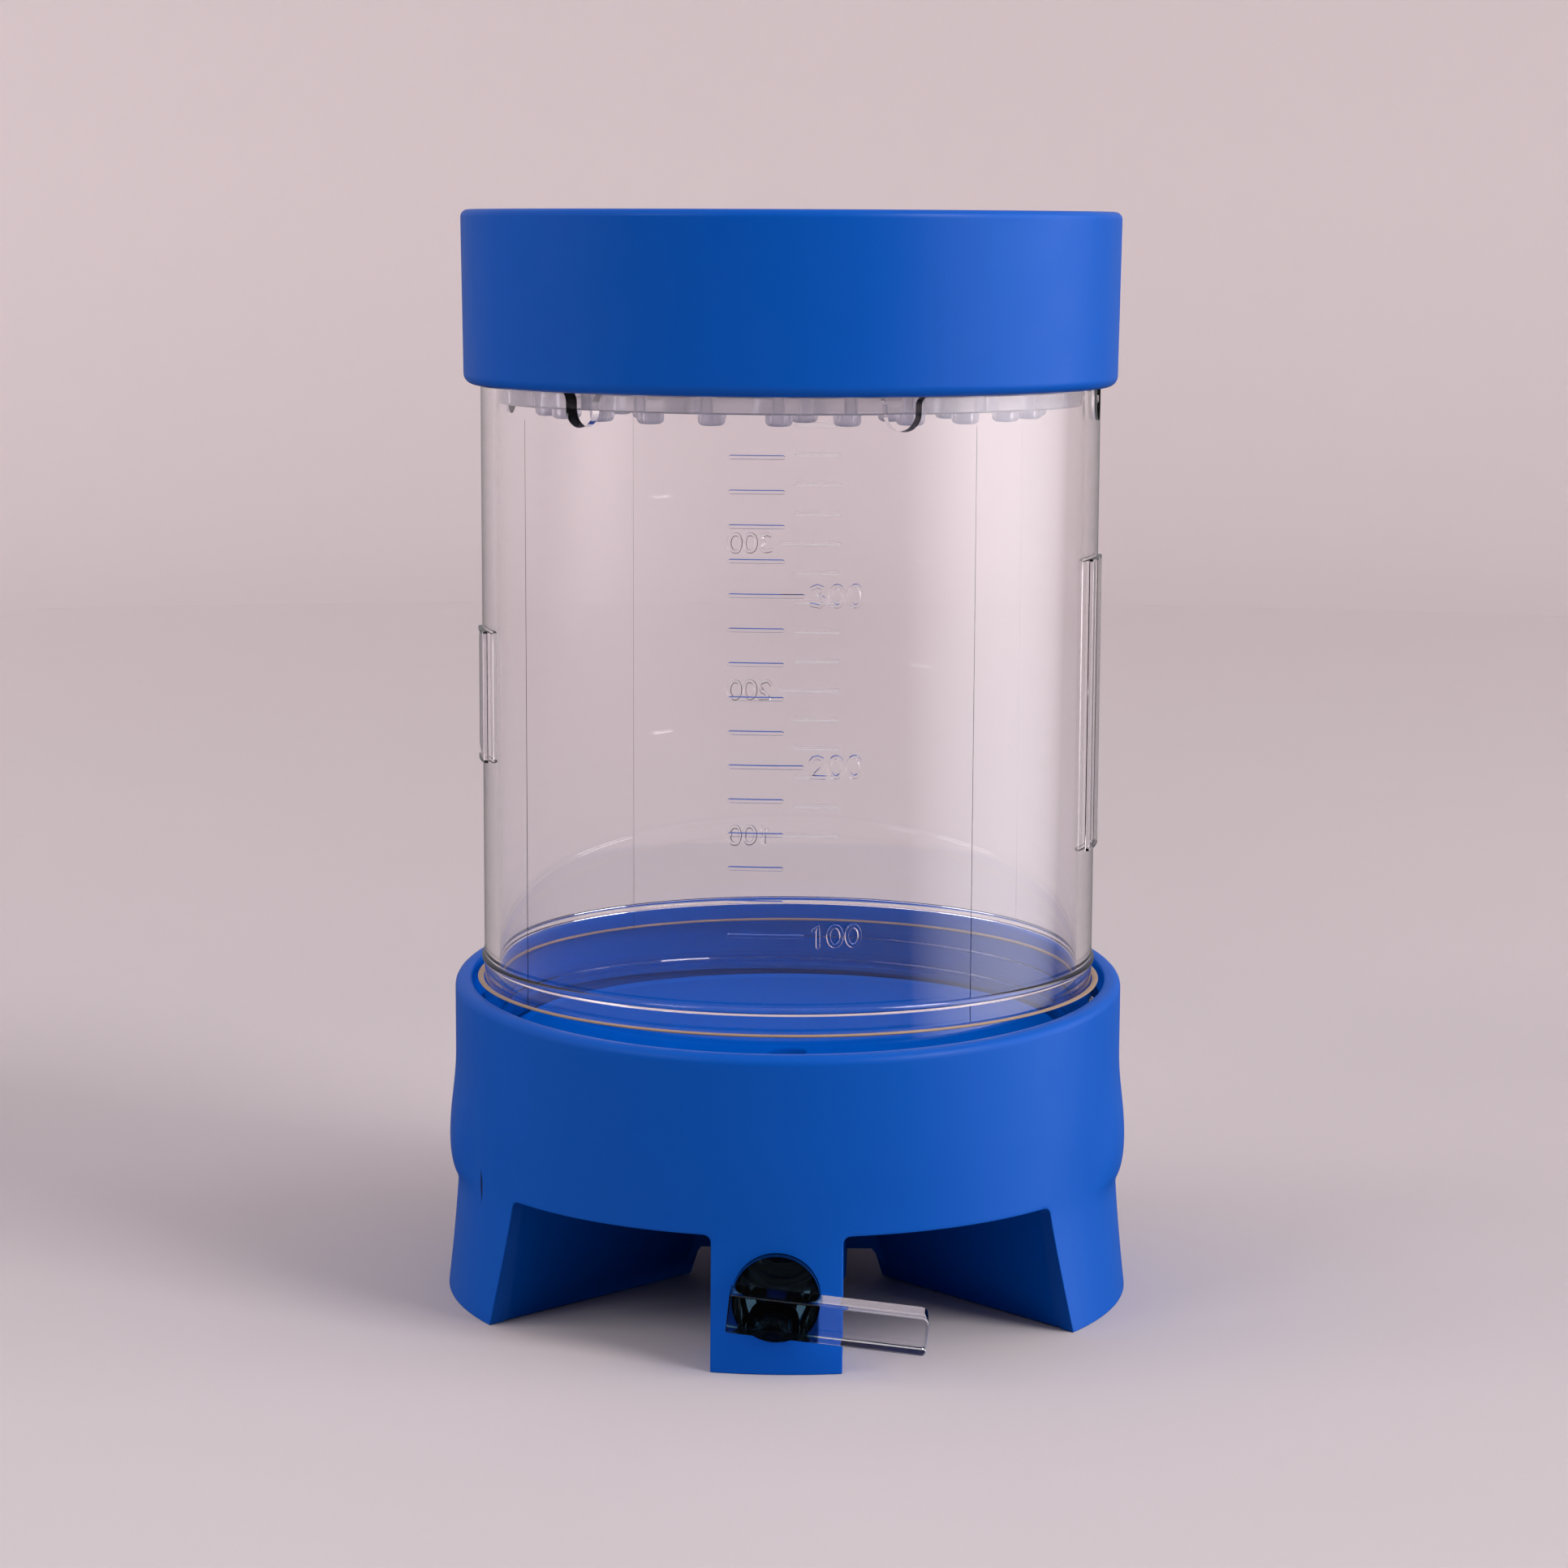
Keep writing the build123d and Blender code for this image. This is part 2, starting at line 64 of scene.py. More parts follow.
BARREL_R = INSERT_HIGH.x
WALL = 2.0
BORE_R = BARREL_R - WALL
BARREL_RIM = BARREL_HIGH.z
FOOT_Z = BARREL_LOW.z
BEAD_Z = 45.0
BEAD_CENTRE = 40.5
BEAD_ROUND = 0.62
NECK_SEAL = (41.3, 42.1)
NECK_SEAL_HALF = (0.4, 0.17)
THREAD_LOW = 32.6
THREAD_PITCH = 3.4
MALE_TURNS = 2.3
FEMALE_TURNS = 2.0
MALE_CREST = BARREL_R + 1.15
FEMALE_CREST = BARREL_R + 0.45
THREAD_ROOT = 1.25
THREAD_TIP = 0.7
NOTCH_COUNT = 6
NOTCH_WIDTH = 4.5
NOTCH_DEPTH = 4.4
NOTCH_START = -38.4

FIRST_MARK_Z = 54.6
STEP = 20000 / (pi * BORE_R**2)
MARK_COUNT = 15
LONG_EVERY = 5
TICK_FROM = -8.6
SHORT_TICK = 8.9
LONG_TICK = 12.4
RIB = 0.66
RIB_PROUD = 0.32
PANEL_PROUD = 0.5
PANELS = (
    [(-86.0, 72.0), (-74.0, 72.0), (-74.0, 89.0), (-86.0, 89.0)],
    [(74.0, 61.0), (86.0, 61.0), (86.0, 99.0), (74.0, 99.0)],
)
SEAMS = (-53.7, 36.1, 126.3, 216.1)

RIM_MEAN_Z = 42.4
RIM_SLANT = radians(2.9)
RIM_ROUND = 1.2
BASE_R = 44.7
MOUTH_R = 42.4
WAIST_R = 44.45
WAIST_Z = 15.8
FOOT_R = BASE_HIGH.x - 0.02
SKIN = 2.4
OPENING_Z = 17.2
OPENING_FILLET = 1.0
LEG_HALF = 8.25
LEG_INNER = 8.2
LEG_DEPTH = 9.0
SIDE_APEX = 13.0
WEB_ANGLE = radians(46.0)
WEB_LEAN = radians(13.0)
GROOVE_Z = 28.0
UPSTAND_R = 38.3
FLOOR_TOP = 34.3
FUNNEL_DROP = 3.0
VALVE_Z = 9.7
VALVE_BORE_R = 5.55
PLUG_R = 5.48
HUB = (8.2, -11.0, 8.2, 2.0)
SLEEVE_R = 7.6
DRAIN_R = 2.5
GRIP_LOW = 15.9
GRIP_CREST = 19.8
GRIP_HIGH = 33.0
GRIP_HALF = 26.0
GRIP_FADE = 14.0
GRIP_PROUD = 1.05

PLATE_Z = 118.8
PLATE = 2.0
PLUG_WALL_R = 38.4
FLANGE_Z = BARREL_RIM + 0.1
FLANGE = 1.8
NECK_R = 38.2
NECK_TOP = INSERT_HIGH.z
NECK_CREST = 39.9
NOZZLE_RINGS = ((32.1, 24, -0.9), (22.5, 12, 6.0))
NOZZLE_R = 1.7
NOZZLE_BORE_R = 0.8
NOZZLE_DROP = 1.65

LID_FOOT = LID_LOW.z
LID_TOP = LID_HIGH.z
LID_R_FOOT = 43.0
LID_R_TOP = LID_HIGH.x
LID_BORE_R = 41.1
LID_CREST = 38.9
LID_SKIN = 2.2
LID_PITCH = 4.0
LID_THREAD_Z = 126.0
LID_TURNS = 1.75

LEVER_BACK = 45.9
LEVER_FRONT = -PLUG_LOW.y
LEVER_DROOP = radians(6.3)
LEVER_SPAN = (-5.8, 19.0)
LEVER_RISE = (-3.55, 1.35)
PLUG_TAIL = PLUG_HIGH.y
PORT_R = 2.4
PLUG_FRONT = -46.0
PLUG_GROOVES = ((4.42, -7.75, -6.25), (4.42, 4.85, 6.35), (4.6, 9.2, 10.0))


# ---------------------------------------------------------------- mesh tools
def on_wall(radius, azimuth, z=0.0):
    """A point at a radius, an azimuth in degrees from the front (-Y) towards +X, and a height."""
    angle = radians(azimuth)
    return (radius * sin(angle), -radius * cos(angle), z)


def soften(corners, steps=4):
    """A closed outline from (a, b, radius) corners, each rounded by a tangent arc."""
    outline = []
    count = len(corners)
    for i, (a, b, radius) in enumerate(corners):
        here = Vector((a, b))
        if radius <= 0:
            outline.append((a, b))
            continue
        back = (Vector(corners[i - 1][:2]) - here).normalized()
        on = (Vector(corners[(i + 1) % count][:2]) - here).normalized()
        half = back.angle(on) / 2
        centre = here + (back + on).normalized() * (radius / sin(half))
        first = here + back * (radius / tan(half)) - centre
        last = here + on * (radius / tan(half)) - centre
        sweep = first.angle_signed(last)
        for k in range(steps + 1):
            turned = first.copy()
            turned.rotate(Matrix.Rotation(-sweep * k / steps, 2))
            outline.append(tuple(centre + turned))
    return outline


def build(name, verts, faces):
    """A mesh object in metres with merged points and outward normals."""
    mesh = bpy.data.meshes.new(name)
    mesh.from_pydata([Vector(v) * MM for v in verts], [], faces)
    made = bmesh.new()
    made.from_mesh(mesh)
    bmesh.ops.remove_doubles(made, verts=made.verts, dist=1e-6)
    bmesh.ops.dissolve_degenerate(made, edges=made.edges, dist=1e-7)
    bmesh.ops.recalc_face_normals(made, faces=made.faces)
    made.to_mesh(mesh)
    made.free()
    obj = bpy.data.objects.new(name, mesh)
    bpy.context.scene.collection.objects.link(obj)
    return obj


def lathe(name, outline, steps=360):
    """A closed outline of (radius, height) turned about Z."""
    verts, faces = [], []
    count = len(outline)
    for i in range(steps):
        for radius, z in outline:
            verts.append(on_wall(radius, 360 * i / steps, z))
    for i in range(steps):
        j = (i + 1) % steps
        for k in range(count):
            m = (k + 1) % count
            faces.append((i * count + k, j * count + k, j * count + m, i * count + m))
    return build(name, verts, faces)


def prism(name, bottom, top):
    """A closed solid between two outlines with the same number of points."""
    count = len(bottom)
    verts = list(bottom) + list(top)
    faces = [tuple(range(count)), tuple(range(count, 2 * count))]
    for k in range(count):
        m = (k + 1) % count
        faces.append((k, m, count + m, count + k))
    return build(name, verts, faces)


def helix_ridge(name, root, crest, pitch, low, turns, sides=120):
    """A right-hand thread ridge that fades in and out at its two ends."""
    verts, faces = [], []
    total = ceil(sides * turns)
    fade = sides / 10
    for i in range(total + 1):
        share = min(1.0, i / fade, (total - i) / fade)
        share = max(share, 0.04)
        tip = root + (crest - root) * share
        azimuth = 90 + 360 * turns * i / total
        z = low + pitch * turns * i / total
        root_half = THREAD_ROOT / 2
        tip_half = THREAD_TIP / 2 + (THREAD_ROOT - THREAD_TIP) / 2 * (1 - share)
        section = ((root, -root_half), (tip, -tip_half), (tip, tip_half), (root, root_half))
        for radius, rise in section:
            verts.append(on_wall(radius, azimuth, z + rise))
    for i in range(total):
        for k in range(4):
            m = (k + 1) % 4
            faces.append((4 * i + k, 4 * i + m, 4 * i + 4 + m, 4 * i + 4 + k))
    faces.append((0, 1, 2, 3))
    faces.append(tuple(4 * total + k for k in range(4)))
    return build(name, verts, faces)


def bake(obj):
    """Applies an object's modifiers."""
    bpy.context.view_layer.update()
    shown = obj.evaluated_get(bpy.context.evaluated_depsgraph_get())
    mesh = bpy.data.meshes.new_from_object(shown)
    obj.modifiers.clear()
    obj.data = mesh
    return obj


def join(name, objects):
    """One object from several, which are removed."""
    made = bmesh.new()
    for obj in objects:
        made.from_mesh(obj.data)
        bpy.data.objects.remove(obj)
    mesh = bpy.data.meshes.new(name)
    made.to_mesh(mesh)
    made.free()
    obj = bpy.data.objects.new(name, mesh)
    bpy.context.scene.collection.objects.link(obj)
    return obj


def boolean(obj, tool, operation):
    """Adds a tool's solid to an object, or takes it away, and removes the tool."""
    change = obj.modifiers.new("change", "BOOLEAN")
    change.operation = operation
    change.solver = "EXACT"
    change.object = tool
    bake(obj)
    bpy.data.objects.remove(tool)
    return obj


def bevel(obj, width, segments=2, angle=50):
    """Rounds an object's sharp edges."""
    change = obj.modifiers.new("bevel", "BEVEL")
    change.width = width * MM
    change.segments = segments
    change.limit_method = "ANGLE"
    change.angle_limit = radians(angle)
    return bake(obj)


def finish_piece(obj, body, slot, material, *nodes):
    """Shades a piece, gives it its material and its body, and hides the CAD nodes that it stands for."""
    obj.data.shade_smooth()
    obj.data.set_sharp_from_angle(angle=EDGE_ANGLE)
    level = obj.modifiers.new("level", "WEIGHTED_NORMAL")
    level.keep_sharp = True
    level.weight = 100
    bake(obj)
    obj.data.materials.clear()
    obj.data.materials.append(material)
    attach(obj, body)
    if nodes:
        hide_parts(*nodes)
    return obj


# ---------------------------------------------------------------- base
def skirt_radius(azimuth, z):
    """The base's outer radius: a plain wall, a waist, flared feet and a swelling at each side."""
    if z > WAIST_Z:
        share = min(1.0, (z - WAIST_Z) / (GROOVE_Z - WAIST_Z))
        plain = WAIST_R + (BASE_R - WAIST_R) * share * share * (3 - 2 * share)
    else:
        plain = WAIST_R + (FOOT_R - WAIST_R) * ((WAIST_Z - z) / WAIST_Z) ** 1.3
    if GRIP_LOW < z < GRIP_CREST:
        rise = sqrt(1 - ((GRIP_CREST - z) / (GRIP_CREST - GRIP_LOW)) ** 2)
    elif GRIP_CREST <= z < GRIP_HIGH:
        rise = (0.5 + 0.5 * cos(pi * (z - GRIP_CREST) / (GRIP_HIGH - GRIP_CREST))) ** 1.2
    else:
        rise = 0.0
    off_side = abs(abs((azimuth + 180) % 360 - 180) - 90)
    spread = min(1.0, max(0.0, (GRIP_HALF - off_side) / GRIP_FADE))
    return plain + GRIP_PROUD * rise * spread * spread * (3 - 2 * spread)


def inner_radius(z):
    """The radius of the skirt's inside."""
    if z >= GROOVE_Z:
        return MOUTH_R
    if z >= WAIST_Z:
        share = (z - WAIST_Z) / (GROOVE_Z - WAIST_Z)
        return WAIST_R - SKIN + (MOUTH_R - WAIST_R + SKIN) * share
    return WAIST_R - SKIN + (FOOT_R - WAIST_R) * ((WAIST_Z - z) / WAIST_Z) ** 1.3


def web_azimuth(radius, z, inset=0.0):
    """Where a side leg's front web face meets a radius, in degrees from the front."""
    reach = z * tan(WEB_LEAN) - SIDE_APEX * sin(WEB_ANGLE) - inset / cos(WEB_LEAN)
    return degrees(acos(reach / radius) - WEB_ANGLE)


def leg_edges(radius, z):
    """The azimuths where the four legs begin and end at a radius and a height."""
    straight = degrees(asin(LEG_HALF / radius))
    web = web_azimuth(radius, z)
    edges = [-straight, straight, web, 180 - web, 180 - straight, 180 + straight, 180 + web, 360 - web]
    over = z - (OPENING_Z - OPENING_FILLET)
    if over > 0:
        step = OPENING_FILLET - sqrt(max(0.0, OPENING_FILLET**2 - over**2))
        flare = degrees(step / radius)
        edges = [edge - flare if i % 2 == 0 else edge + flare for i, edge in enumerate(edges)]
    return edges


def row_azimuths(radius, z, columns):
    """Column azimuths of one row, so that leg edges always fall on a column."""
    edges = leg_edges(radius, min(z, OPENING_Z))
    row = []
    for i, edge in enumerate(edges):
        following = edges[i + 1] if i < 7 else edges[0] + 360
        for k in range(columns[i]):
            row.append(edge + (following - edge) * k / columns[i])
    return row


def rim_point(azimuth, radius, drop):
    """A point of the slanted rim, at a radius and below its plane."""
    x, y, _ = on_wall(radius, azimuth)
    return (x, y, RIM_MEAN_Z + y * tan(RIM_SLANT) - drop)


def make_skirt():
    """The base's wall with its rounded, slanted rim and the four legs, as one closed shell."""
    columns = (16, 38, 72, 38, 16, 38, 72, 38)
    is_leg = [i % 2 == 0 for i in range(8) for _ in range(columns[i])]
    starts = [sum(columns[:i]) for i in range(8)]
    total = len(is_leg)
    fillet = [OPENING_Z - OPENING_FILLET + OPENING_FILLET * sin(radians(a)) for a in (0, 18, 36, 54, 72, 90)]
    lower = [k * (OPENING_Z - OPENING_FILLET) / 14 for k in range(14)]
    upper = [OPENING_Z + 0.5 + k * 0.62 for k in range(26)]
    heights = lower + fillet + upper
    roof = len(lower) + len(fillet) - 1
    top = len(heights) - 1
    rim = [(BASE_R, 3.2), (BASE_R, RIM_ROUND)]
    for k in range(1, 6):
        angle = radians(18 * k)
        rim.append((BASE_R - RIM_ROUND + RIM_ROUND * cos(angle), RIM_ROUND - RIM_ROUND * sin(angle)))
    rim += [(MOUTH_R + 0.6, 0), (MOUTH_R + 0.2, 0.12), (MOUTH_R, 0.5), (MOUTH_R, 3.2)]
    verts, ids = [], {}
    for k, z in enumerate(heights):
        azimuths = row_azimuths(skirt_radius(0, z), z, columns)
        inside = row_azimuths(inner_radius(z), z, columns)
        for c in range(total):
            ids["out", k, c] = len(verts)
            verts.append(on_wall(skirt_radius(azimuths[c], z), azimuths[c], z))
            ids["in", k, c] = len(verts)
            verts.append(on_wall(inner_radius(z), inside[c], z))
    plain = row_azimuths(BASE_R, OPENING_Z, columns)
    for k, (radius, drop) in enumerate(rim):
        for c in range(total):
            ids["rim", k, c] = len(verts)
            verts.append(rim_point(plain[c], radius, drop))
    faces = []
    loop = ["out"] + ["rim"] * len(rim) + ["in"]
    level = [top] + list(range(len(rim))) + [top]
    for c in range(total):
        d = (c + 1) % total
        first = 0 if is_leg[c] else roof
        for k in range(first, top):
            faces.append(tuple(ids["out", a, b] for a, b in ((k, c), (k, d), (k + 1, d), (k + 1, c))))
            faces.append(tuple(ids["in", a, b] for a, b in ((k, c), (k + 1, c), (k + 1, d), (k, d))))
        faces.append((ids["out", first, c], ids["in", first, c], ids["in", first, d], ids["out", first, d]))
        for k in range(len(loop) - 1):
            low, high = (loop[k], level[k]), (loop[k + 1], level[k + 1])
            faces.append((ids[(*low, c)], ids[(*low, d)], ids[(*high, d)], ids[(*high, c)]))
    for start in starts:
        for k in range(roof):
            corners = (("out", k), ("out", k + 1), ("in", k + 1), ("in", k))
            faces.append(tuple(ids[(*corner, start)] for corner in corners))
    return bevel(build("skirt", verts, faces), 0.4, segments=3)


def web_point(side, end, z, inset, radius=None):
    """A point on a side leg's web face, at a radius or at the wedge's apex."""
    if radius is None:
        reach = SIDE_APEX - z * tan(WEB_LEAN) / sin(WEB_ANGLE) + inset / (sin(WEB_ANGLE) * cos(WEB_LEAN))
        return (side * reach, 0.0, z)
    x, y, height = on_wall(radius, web_azimuth(radius, z, inset), z)
    return (side * x, y if end < 0 else -y, height)


def make_web(side, end):
    """One leaning web of a side leg."""
    rows = []
    for z in (0.03, GROOVE_Z - 1.0):
        reach = (skirt_radius(60, z) + inner_radius(z)) / 2
        rows.append(
            (
                web_point(side, end, z, 0.03, reach),
                web_point(side, end, z, 0.03),
                web_point(side, end, z, SKIN),
                web_point(side, end, z, SKIN, reach),
            )
        )
    return bevel(prism("web", *rows), 0.3)


def block(name, x_range, y_range, z_range, width=0.3):
    """A plain block with rounded edges."""
    corners = [(x, y) for x, y in zip((*x_range, *x_range[::-1]), (y_range[0],) * 2 + (y_range[1],) * 2)]
    made = prism(name, *[[(x, y, z) for x, y in corners] for z in z_range])
    return bevel(made, width)


def rod(name, radius, y_range, z, steps=96):
    """A plain rod along Y."""
    rows = []
    for y in y_range:
        turn = [2 * pi * k / steps for k in range(steps)]
        rows.append([(radius * cos(a), y, z + radius * sin(a)) for a in turn])
    return prism(name, *rows)


def make_hub():
    """The rounded block that holds the plug, with its drain lip below."""
    half, front, back, low = HUB
    outline = soften([(-half, front, 2.5), (half, front, 2.5), (half, back, 2.5), (-half, back, 2.5)], 6)
    hub = prism("hub", *[[(x, y, z) for x, y in outline] for z in (low, FLOOR_TOP - FUNNEL_DROP - 1.2)])
    bevel(hub, 0.4)
    lip = lathe("lip", [(DRAIN_R, low + 0.5), (4.4, low + 0.5), (4.4, low - 1.2), (DRAIN_R, low - 1.2)], 96)
    boolean(hub, rod("bore", VALVE_BORE_R, (front - 1, back + 1), VALVE_Z), "DIFFERENCE")
    drain = lathe("drain", [(0, low - 2), (DRAIN_R, low - 2), (DRAIN_R, FLOOR_TOP), (0, FLOOR_TOP)], 96)
    boolean(hub, drain, "DIFFERENCE")
    return [hub, lip]


def make_base():
    """The whole blue base."""
    bore = (-FOOT_R - 2, -BASE_R + LEG_DEPTH - 2)
    skirt = boolean(make_skirt(), rod("bore", VALVE_BORE_R, (bore[0], -30), VALVE_Z), "DIFFERENCE")
    leg = block("leg", (-LEG_INNER, LEG_INNER), (-BASE_R + 1, -BASE_R + 1 + LEG_DEPTH), (0.03, GROOVE_Z - 1))
    boolean(leg, rod("bore", VALVE_BORE_R, (bore[0], -30), VALVE_Z), "DIFFERENCE")
    pieces = [skirt, leg]
    reach = (-BASE_R + LEG_DEPTH, HUB[1] + 1)
    sleeve = [rod("sleeve", radius, reach, VALVE_Z) for radius in (SLEEVE_R, VALVE_BORE_R)]
    pieces.append(boolean(*sleeve, "DIFFERENCE"))
    pieces.extend(make_hub())
    for side in (-1, 1):
        for end in (-1, 1):
            pieces.append(make_web(side, end))
    back = BASE_R - 1
    hollow = back - LEG_DEPTH
    walls = (
        ((-LEG_INNER, LEG_INNER), (hollow, hollow + SKIN)),
        ((-LEG_INNER, SKIN - LEG_INNER), (hollow, back)),
        ((LEG_INNER - SKIN, LEG_INNER), (hollow, back)),
    )
    for x_range, y_range in walls:
        pieces.append(block("leg_wall", x_range, y_range, (0.03, GROOVE_Z - 1)))
    arch = soften([(6.5, 4.2, 0), (11.6, 4.2, 0), (13.6, 1.6, 0), (13.6, 27, 0), (6.5, 27, 0)])
    for side in (-1, 1):
        rows = [[(side * x, y, z) for x, z in arch] for y in (-SKIN / 2, SKIN / 2)]
        pieces.append(prism("arch", *rows))
    rib = (-SKIN / 2, SKIN / 2)
    pieces.append(block("back_rib", rib, (HUB[2] - 1, hollow + 1), (VALVE_Z + 8, GROOVE_Z)))
    pieces.append(block("front_rib", rib, (-back + LEG_DEPTH - 1, HUB[1] + 1), (VALVE_Z + 6.5, GROOVE_Z)))
    funnel_r = UPSTAND_R - 2
    centre = FLOOR_TOP - FUNNEL_DROP
    cup = soften(
        [
            (DRAIN_R, centre, 0.4),
            (funnel_r, FLOOR_TOP, 0.6),
            (funnel_r + 1.0, FLOOR_TOP + 0.5, 0.4),
            (UPSTAND_R, FLOOR_TOP - 0.5, 0.4),
            (UPSTAND_R, GROOVE_Z, 0.3),
            (MOUTH_R + 0.6, GROOVE_Z, 0),
            (MOUTH_R + 0.6, GROOVE_Z - 2.2, 0),
            (funnel_r - 0.5, GROOVE_Z - 2.2, 0),
            (funnel_r - 0.5, FLOOR_TOP - 2.4, 0),
            (DRAIN_R, centre - 2.4, 0),
        ]
    )
    pieces.append(lathe("cup", cup))
    thread_low = THREAD_LOW - THREAD_PITCH / 2
    pieces.append(
        helix_ridge("thread", MOUTH_R + 0.2, FEMALE_CREST, THREAD_PITCH, thread_low, FEMALE_TURNS)
    )
    return join("base_shell", pieces)


# ---------------------------------------------------------------- barrel
def stroke(name, path, half, proud, closed=False, ends=True):
    """A low raised line on the barrel's wall that follows (azimuth, height) points."""
    rows = []
    count = len(path)
    flat = [Vector((radians(a) * BARREL_R, z)) for a, z in path]
    for i in range(count):
        before = flat[i - 1] if closed or i > 0 else flat[0]
        after = flat[(i + 1) % count] if closed or i < count - 1 else flat[-1]
        across = (after - before).normalized().orthogonal()
        rows.append((flat[i], across, 1.0))
    if not closed and ends:
        first = (flat[0] - flat[1]).normalized()
        last = (flat[-1] - flat[-2]).normalized()
        for share in (0.38, 0.71, 0.95):
            width = sqrt(1 - share * share)
            rows.insert(0, (flat[0] + first * half * share, rows[0][1], width))
            rows.append((flat[-1] + last * half * share, rows[-1][1], width))
    verts, faces = [], []
    section = ((-1.0, -0.2), (-0.54, proud), (0.54, proud), (1.0, -0.2))
    for point, across, width in rows:
        for side, rise in section:
            place = point + across * side * half * width
            verts.append(on_wall(BARREL_R + rise, degrees(place.x / BARREL_R), place.y))
    total = len(rows)
    for i in range(total if closed else total - 1):
        j = (i + 1) % total
        for k in range(4):
            m = (k + 1) % 4
            faces.append((4 * i + k, 4 * i + m, 4 * j + m, 4 * j + k))
    if not closed:
        faces.append((0, 1, 2, 3))
        faces.append(tuple(4 * total - 4 + k for k in range(4)))
    return build(name, verts, faces)


def run(start, end, step=0.8):
    """Evenly spaced (azimuth, height) points between two of them."""
    length = hypot(radians(end[0] - start[0]) * BARREL_R, end[1] - start[1])
    count = max(2, ceil(length / step))
    return [tuple(a + (b - a) * k / count for a, b in zip(start, end)) for k in range(count + 1)]


def loop(corners, step=0.8):
    """Evenly spaced points round a closed outline of (azimuth, height) corners."""
    points = []
    for i, corner in enumerate(corners):
        points.extend(run(corner, corners[(i + 1) % len(corners)], step)[:-1])
    return points


DIGITS = {
    "0": [(0.5 + 0.5 * sin(2 * pi * k / 20), 0.5 + 0.5 * cos(2 * pi * k / 20)) for k in range(20)],
    "1": [(0.3, 0.8), (0.6, 1.0), (0.6, 0.66), (0.6, 0.33), (0.6, 0.0)],
    "2": [
        (0, 0.8), (0.2, 0.96), (0.5, 1), (0.85, 0.9), (0.95, 0.7),
        (0.8, 0.45), (0.4, 0.2), (0.05, 0.02), (1, 0),
    ],
    "3": [
        (0.05, 0.9), (0.4, 1), (0.8, 0.9), (0.9, 0.7), (0.6, 0.53),
        (0.9, 0.38), (0.95, 0.2), (0.6, 0), (0, 0.08),
    ],
}


def numeral(text, azimuth, z, height=2.5, width=1.65, gap=2.3):
    """Raised digits drawn with one round stroke, from an azimuth on and centred on a height."""
    pieces = []
    for i, digit in enumerate(text):
        path = []
        for across, rise in DIGITS[digit]:
            path.append((azimuth + degrees((i * gap + across * width) / BARREL_R), z + (rise - 0.5) * height))
        pieces.append(stroke("digit", path, 0.34, 0.2, closed=digit == "0"))
    return pieces


def make_scale(turn):
    """One side's marks, numbered every hundred millilitres."""
    pieces = []
    for mark in range(MARK_COUNT):
        z = FIRST_MARK_Z + mark * STEP
        long = mark % LONG_EVERY == 0
        end = TICK_FROM + (LONG_TICK if long else SHORT_TICK)
        pieces.append(stroke("tick", run((TICK_FROM + turn, z), (end + turn, z)), RIB / 2, RIB_PROUD))
        if long:
            pieces.extend(numeral(str(100 + 20 * mark), 5.4 + turn, z))
    return pieces


def notch_cutter(azimuth):
    """A rounded slot with a flared mouth, cut into the rim."""
    half = NOTCH_WIDTH / 2
    mouth = BARREL_RIM + 0.02
    low = BARREL_RIM - NOTCH_DEPTH
    corners = [
        (-6, mouth + 3, 0),
        (-6, mouth, 0),
        (-half, mouth, 1.3),
        (-half, low, half - 0.01),
        (half, low, half - 0.01),
        (half, mouth, 1.3),
        (6, mouth, 0),
        (6, mouth + 3, 0),
    ]
    outline = soften(corners, 10)
    rows = []
    for radius in (BORE_R - 3, BARREL_R + 3):
        row = []
        for along, z in outline:
            x, y, height = on_wall(radius, azimuth, z)
            side = on_wall(1, azimuth + 90)
            row.append((x + along * side[0], y + along * side[1], height))
        rows.append(row)
    return prism("notch", *rows)


def make_barrel():
    """The clear barrel with its bead, thread, marks, side panels and notches."""
    bead = []
    for k in range(9):
        angle = radians(-65 + 130 * k / 8)
        bead.append((BEAD_CENTRE + BEAD_ROUND * cos(angle), BEAD_Z + BEAD_ROUND * sin(angle), 0))
    corners = [
        (BORE_R, FOOT_Z, 0.3),
        (BARREL_R, FOOT_Z, 0.3),
        *bead,
        (BARREL_R, BARREL_RIM, 0.35),
        (BORE_R, BARREL_RIM, 0.35),
    ]
    tube = lathe("tube", soften(corners), 480)
    raised = [helix_ridge("thread", BARREL_R - 0.2, MALE_CREST, THREAD_PITCH, THREAD_LOW, MALE_TURNS)]
    for turn in (0, 180):
        raised.extend(make_scale(turn))
    for azimuth in SEAMS:
        seam = run((azimuth, THREAD_LOW + 9.2), (azimuth, BARREL_RIM - NOTCH_DEPTH + 0.6), 4)
        raised.append(stroke("seam", seam, 0.22, 0.035, ends=False))
    for corners in PANELS:
        raised.append(stroke("panel", loop(corners), 0.3, PANEL_PROUD, closed=True))
    boolean(tube, join("raised", raised), "UNION")
    cutters = [notch_cutter(NOTCH_START + 360 * k / NOTCH_COUNT) for k in range(NOTCH_COUNT)]
    return boolean(tube, join("notches", cutters), "DIFFERENCE")


